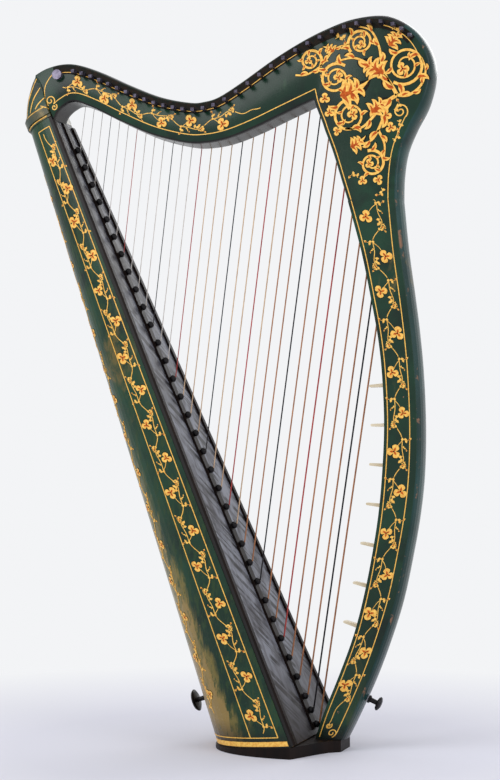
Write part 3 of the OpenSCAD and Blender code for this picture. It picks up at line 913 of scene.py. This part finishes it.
def tube(shapes, path, radius, sides=10):
    """A round string along a path of points in mm."""
    verts = []
    last = len(path) - 1
    side = None
    for i, p in enumerate(path):
        run = (path[min(i + 1, last)] - path[max(i - 1, 0)]).normalized()
        if side is None:
            side = run.cross(Vector((0.3, 1, 0.1))).normalized()
        side = (side - run * side.dot(run)).normalized()
        other = run.cross(side)
        for k in range(sides):
            a = math.tau * k / sides
            verts.append((p + (side * math.cos(a) + other * math.sin(a)) * radius) * MM)
    shapes.add(verts, ring_faces(sides, len(path)))


def string_paint(i):
    """Red for every C, black for every F, else plain gut that darkens with its weight."""
    if i % 7 == 0:
        return gut_red
    if i % 7 == 4:
        return gut_black
    if i <= 13:
        return gut_pale
    return gut if i <= 22 else gut_bass


def make_string(i):
    """A string from its peg over the bridge pin's height to its windings on the tuning pin."""
    r = string_r(i)
    bz, pz = meet_z(i, BRIDGE_DROP), meet_z(i, 0)
    top = Vector((string_x(i, bz), STRING_Y, bz))
    end = Vector((string_x(i, pz), STRING_Y, pz))
    peg = lean(PEG_TOP - 0.5, 0, peg_u(i))
    path = [peg.lerp(top, t) for t in (0, 0.002, 0.25, 0.5, 0.75, 1)]
    around = PIN_R + r
    for k in range(WINDING_TURNS * TURN_STEPS + 1):
        a = math.pi - math.tau * k / TURN_STEPS
        path.append(Vector((end[0] + around + around * math.cos(a),
                            STRING_Y + k / TURN_STEPS * WINDING_PITCH * r,
                            pz + around * math.sin(a))))
    shapes = Shapes()
    tube(shapes, path, r)
    return shapes.build("string_%02d" % i, [string_paint(i)], smooth_angle=60)


string_pieces = [make_string(i) for i in range(1, STRING_COUNT + 1)]
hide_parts("strings")

# ---- painted ornament ------------------------------------------------------
neck_near = FlatFace(neck_line, NEAR_Y, -1)
pillar_near = FlatFace(pillar_line, NEAR_Y, -1)
pillar_far = FlatFace(pillar_line, FAR_Y, 1)
LINE_HALF = 0.55


def border(shapes, face, start, end, offset, side, half=LINE_HALF, mat=BRIGHT):
    """A painted line that keeps its distance from one edge of a flat face."""
    count = int((end - start) / 4)
    path = []
    for k in range(count + 1):
        s = mix(start, end, k / count)
        path.append((s, side * (face.half(s) - offset)))
    ribbon(shapes, face.put, path, [half] * len(path), 0.12, mat)


def edge_path(line, offset, use_outer):
    """Points a fixed distance inside one edge of a face, as X and Z."""
    pts = [(p[0], p[1]) if use_outer else (p[2], p[3]) for p in line]
    out = []
    last = len(pts) - 1
    for i, p in enumerate(pts):
        a, b = pts[max(i - 1, 0)], pts[min(i + 1, last)]
        size = math.hypot(b[0] - a[0], b[1] - a[1])
        hand = 1 if use_outer else -1
        out.append((p[0] + (b[1] - a[1]) / size * offset * hand,
                    p[1] - (b[0] - a[0]) / size * offset * hand))
    return out


def line_along(shapes, put, path, half=LINE_HALF, lift=0.12, mat=BRIGHT):
    ribbon(shapes, put, path, [half] * len(path), lift, mat)


def spiral(shapes, put, x, z, radius, start, hand, turns=1.3, thick=0.7):
    count = int(turns * 18)
    path = []
    for k in range(count + 1):
        t = k / count
        r = radius * (1 - 0.82 * t)
        a = start + hand * math.tau * turns * t
        path.append((x + r * math.cos(a), z + r * math.sin(a)))
    ribbon(shapes, put, path, [thick] * (count + 1), 0.16, BRIGHT)


# Places along the neck's line, counted in its points
CORNER_INDEX = 13 * LINE_STEPS
HEAD_BAND_END = 16 * LINE_STEPS + 4
RIM_START = 15 * LINE_STEPS
RIM_END = 18 * LINE_STEPS + 2
HEAD_BACK = 19 * LINE_STEPS + 6
# Distances of the painted lines from the edges
PILLAR_INNER = 4.5
PILLAR_OUTER = 8.0
NECK_LOWER = 11.0
NECK_UPPER = 10.0
BAND_MIDDLE = 6.4
BAND_HALF = 6.0
CORNER_POINT = (85.5, 819.0)


def paint_pillar(name, face):
    """Gold edge lines, two volutes at the foot and a vine."""
    shapes = Shapes()
    end = face.length
    border(shapes, face, 0, end - 8, PILLAR_OUTER, 1)
    border(shapes, face, 0, end - 3, PILLAR_INNER, -1)
    spiral(shapes, face.put, end - 9, 2, 6, 0.4, 1)
    spiral(shapes, face.put, end - 18, -5, 4, 2.4, -1)
    vine(shapes, face.put, -4, end - 16, lambda s: -1.5,
         lambda s: face.half(s) - 7.5, 49, 8.2, 1, 5)
    shapes.build(name, ORNAMENT)


paint_pillar("pillar_near_ornament", pillar_near)
paint_pillar("pillar_far_ornament", pillar_far)


def paint_neck():
    """Gold edge lines, a dark band under the tuning pins and a vine."""
    shapes = Shapes()
    face = neck_near
    put = PlainFace(NEAR_Y, -1).put
    lower = edge_path(neck_line, NECK_LOWER, False)[10:CORNER_INDEX - 14]
    inner_side = edge_path(neck_line, PILLAR_INNER, False)[CORNER_INDEX + 6:]
    line_along(shapes, put, lower + [CORNER_POINT])
    line_along(shapes, put, [CORNER_POINT] + inner_side)
    start = lower[0]
    spiral(shapes, put, start[0] - 5, start[1] + 5, 7, -0.7, 1, 1.3)
    spiral(shapes, put, start[0] + 1, start[1] - 4, 4.5, 1.0, -1, 1.2)
    line_along(shapes, put, curve_path([(-279, 822), (-284, 834), (-284, 848), (-277, 860),
                                        (-268, 868)]))
    upper = edge_path(neck_line, NECK_UPPER, True)[14:96]
    line_along(shapes, put, upper, 0.4)
    band = edge_path(neck_line, BAND_MIDDLE, True)[12:HEAD_BAND_END]
    line_along(shapes, put, band, BAND_HALF, 0.04, DARK)
    vine(shapes, face.put, 30, 318, lambda s: -face.half(s) * 0.10 + 1,
         lambda s: face.half(s) - 14, 43, 7.8, -1, 11)
    shapes.build("neck_near_ornament", ORNAMENT)


paint_neck()


def paint_head():
    """Volutes, stems with leaves, large leaves, trefoils and sprigs, placed in X and Z."""
    shapes = Shapes()
    put = PlainFace(NEAR_Y, -1).put
    outline = edge_path(neck_line, PILLAR_OUTER, True)
    line_along(shapes, put, outline[HEAD_BACK:])
    line_along(shapes, put, outline[RIM_START:RIM_END])
    tip = outline[HEAD_BACK]
    spiral(shapes, put, tip[0] - 7, tip[1] + 6, 10, -0.8, 1, 1.5, 0.8)
    for x, z, r, start, hand, turns in (
        (80, 855, 15, -0.6, 1, 1.6), (144, 873, 17, -2.4, -1, 1.8), (200, 840, 25, -2.2, 1, 2.0),
        (112, 830, 20, 0.9, 1, 1.9), (130, 782, 22, 1.0, 1, 1.9), (158, 721, 17, 1.9, -1, 1.8),
    ):
        scroll(shapes, put, x, z, r, start, hand, turns)
    for points, thick, size in (
        ([(190, 804), (178, 824), (158, 842), (136, 854), (112, 851)], 3.2, 17),
        ([(190, 804), (205, 803), (220, 814), (226, 832), (221, 848)], 2.8, 11),
        ([(184, 812), (172, 838), (168, 864), (158, 886), (142, 893)], 2.8, 13),
        ([(190, 804), (172, 793), (158, 777), (144, 766), (124, 766)], 3.2, 15),
        ([(178, 790), (168, 766), (158, 750), (142, 745)], 2.8, 15),
        ([(166, 762), (174, 744), (173, 724)], 2.4, 11),
        ([(60, 838), (76, 838), (96, 850), (112, 868), (130, 872)], 1.6, 10),
    ):
        leafy(shapes, put, curve_path(points, 6), thick, size)
    for x, z, angle, size, hand in (
        (118, 808, 0.15, 42, 1), (180, 866, 0.7, 26, 1), (131, 743, 0.3, 24, 1),
        (110, 864, 2.4, 17, 1), (170, 832, 2.3, 34, 1), (158, 784, 0.9, 28, -1),
    ):
        acanthus(shapes, put, x, z, angle, size, hand)
    for x, z, size in ((176, 780, 7.5), (182, 764, 7), (98, 806, 7), (104, 788, 6.5),
                       (166, 700, 6.5), (146, 700, 6), (114, 764, 6), (168, 832, 6)):
        trefoil(shapes, put, x, z, size, x * 0.7)
    for x, z, angle, size, hand in (
        (186, 786, 0.2, 14, 1), (190, 772, -0.5, 12, -1), (184, 750, -0.2, 12, 1),
        (112, 880, 0.5, 16, -1), (184, 886, 0.4, 15, -1), (92, 836, -0.5, 11, 1),
        (140, 704, 2.0, 12, 1), (170, 690, -1.2, 12, -1),
    ):
        sprig(shapes, put, x, z, angle, size, hand, 3)
    shapes.build("head_near_ornament", ORNAMENT)


paint_head()


def paint_box(name, side):
    """A vine between two gold lines beside the soundboard, a second vine and the foot's bands."""
    shapes = Shapes()
    face = BoxSide(side)
    foot = face.low_u + 13
    top = 872

    def inner_edge(s):
        return mix(11.0, 3.0, s / BOX_TOP_U)

    def outer_edge(s):
        return mix(48.0, 21.5, s / BOX_TOP_U)

    def across_at(s, low, high, half, count=24):
        path = [(s, mix(low, high, k / count)) for k in range(count + 1)]
        ribbon(shapes, face.put, path, [half] * (count + 1), 0.3, BRIGHT)

    for edge in (inner_edge, outer_edge):
        path = [(mix(foot, top, k / 140), edge(mix(foot, top, k / 140))) for k in range(141)]
        ribbon(shapes, face.put, path, [LINE_HALF] * len(path), 0.3, BRIGHT)
    back = face.row(0.01)[1][-1]
    across_at(foot, inner_edge(foot), back, LINE_HALF, 70)
    across_at(face.low_u + 5, 1.5, back, 3.0, 70)
    across_at(top, inner_edge(top), outer_edge(top), LINE_HALF, 8)

    def lifted(s, v, lift):
        return face.put(s, v, lift + 0.14)

    vine(shapes, lifted, 36, 866, lambda s: (inner_edge(s) + outer_edge(s)) / 2,
         lambda s: (outer_edge(s) - inner_edge(s)) / 2 - 2, 48, 8.0, -1, 21)
    vine(shapes, lifted, 60, 820, lambda s: mix(100, 50, s / BOX_TOP_U), lambda s: 10.0, 50, 6.4,
         1, 33)
    shapes.build(name, ORNAMENT)


paint_box("soundbox_near_ornament", -1)
paint_box("soundbox_far_ornament", 1)


class Draped:
    """Lays shapes drawn in X and Z onto the near or far side of CAD nodes."""

    def __init__(self, names, outward):
        self.trees = [BVHTree.FromObject(nodes[n], bpy.context.evaluated_depsgraph_get())
                      for n in names]
        self.outward = outward

    def put(self, x, z, lift):
        start = Vector((x * MM, self.outward * 0.2, z * MM))
        best = None
        for tree in self.trees:
            hit, normal, _, gap = tree.ray_cast(start, Vector((0, -self.outward, 0)))
            if hit is not None and (best is None or gap < best[2]):
                best = (hit, normal, gap)
        if best is None:
            start.y = self.outward * 0.03
            for tree in self.trees:
                hit, normal, _, gap = tree.find_nearest(start)
                if best is None or gap < best[2]:
                    best = (hit, normal, gap)
        return best[0] + best[1] * lift * MM


def paint_shoulder(name, outward):
    """Gold lines round the shoulder ring and rays on the shoulder cap."""
    shapes = Shapes()
    bpy.context.view_layer.update()
    put = Draped(["shoulder_ring", "shoulder_cap"], outward).put

    def ring_line(u, half):
        path = []
        for k in range(17):
            p = lean(mix(-40, -5, k / 16), 0, u)
            path.append((p[0], p[2]))
        ribbon(shapes, put, path, [half] * len(path), 0.35, BRIGHT)

    ring_line(BOX_TOP_U + 2.2, 0.6)
    ring_line(BOX_TOP_U + 15.2, 0.6)
    for w, part in ((-36, 0.93), (-27, 0.72), (-17, 0.48), (-8, 0.24)):
        low = lean(w, 0, BOX_TOP_U + 19)
        end = NECK_STATIONS[0]
        high = (mix(end[2], end[0], part), mix(end[3], end[1], part))
        path = []
        for k in range(15):
            t = k / 14
            path.append((mix(low[0], high[0], t) - 4 * part * math.sin(math.pi * t),
                         mix(low[2], high[1], t)))
        ribbon(shapes, put, path, [0.45 + 0.35 * math.sin(math.pi * k / 14) for k in range(15)],
               0.35, BRIGHT)
    shapes.build(name, ORNAMENT)


paint_shoulder("shoulder_near_lines", -1)
paint_shoulder("shoulder_far_lines", 1)

# ---- floor, light and camera ----------------------------------------------
FLOOR_HALF = 3.0
floor_mesh = bpy.data.meshes.new("studio_floor")
floor_mesh.from_pydata(
    [(-FLOOR_HALF, -FLOOR_HALF, 0), (FLOOR_HALF, -FLOOR_HALF, 0), (FLOOR_HALF, FLOOR_HALF, 0),
     (-FLOOR_HALF, FLOOR_HALF, 0)], [], [[0, 1, 2, 3]])
floor = bpy.data.objects.new("studio_floor", floor_mesh)
bpy.context.scene.collection.objects.link(floor)
WHITE = srgb(243, 244, 246)
floor_paint = Paint("floor_pale", srgb(206, 206, 216), 0.8, specular=0.1)
reach = floor_paint.node("ShaderNodeVectorMath", operation="LENGTH")
floor_paint.link(floor_paint.place, reach.inputs[0])
glow = floor_paint.node("ShaderNodeEmission")
glow.inputs["Color"].default_value = WHITE
fade = floor_paint.node("ShaderNodeMixShader")
far = floor_paint.ramp(reach.outputs["Value"], 0.30, 0.85)
floor_paint.link(far, fade.inputs["Fac"])
floor_paint.link(floor_paint.shader.outputs["BSDF"], fade.inputs[1])
floor_paint.link(glow.outputs["Emission"], fade.inputs[2])
floor_out = floor_paint.tree.nodes["Material Output"]
floor_paint.link(fade.outputs["Shader"], floor_out.inputs["Surface"])
floor_mesh.materials.append(floor_paint.material)

world = bpy.data.worlds.new("studio_world")
world.use_nodes = True
world.node_tree.nodes["Background"].inputs["Color"].default_value = WHITE
world.node_tree.nodes["Background"].inputs["Strength"].default_value = 1.0
bpy.context.scene.world = world
bpy.context.scene.view_settings.view_transform = "Standard"


def area_light(name, place, target, size, power, colour=(1, 1, 1)):
    data = bpy.data.lights.new(name, "AREA")
    data.shape = "RECTANGLE"
    data.size = size[0]
    data.size_y = size[1]
    data.energy = power
    data.color = colour
    lamp = bpy.data.objects.new(name, data)
    bpy.context.scene.collection.objects.link(lamp)
    lamp.location = place
    lamp.rotation_euler = (Vector(target) - Vector(place)).to_track_quat("-Z", "Y").to_euler()


area_light("key_soft", (-1.6, -2.2, 2.2), (0, 0, 0.5), (1.8, 1.8), 34)
area_light("fill_right", (2.4, -1.2, 1.4), (0, 0, 0.5), (1.2, 2.0), 14)
area_light("rim_back", (0.6, 2.4, 2.0), (0, 0, 0.6), (1.6, 1.2), 18)

CAMERA_LENS = 77.3
CAMERA_PLACE = (0.6481, -2.0248, 0.3399)
CAMERA_TILT = math.radians(90 + 2.83)
CAMERA_TURN = math.radians(18)
camera_data = bpy.data.cameras.new("photo_camera")
camera_data.sensor_fit = "AUTO"
camera_data.sensor_width = 36.0
camera_data.lens = CAMERA_LENS
camera = bpy.data.objects.new("photo_camera", camera_data)
bpy.context.scene.collection.objects.link(camera)
camera.location = CAMERA_PLACE
camera.rotation_euler = (CAMERA_TILT, 0, CAMERA_TURN)
bpy.context.scene.camera = camera
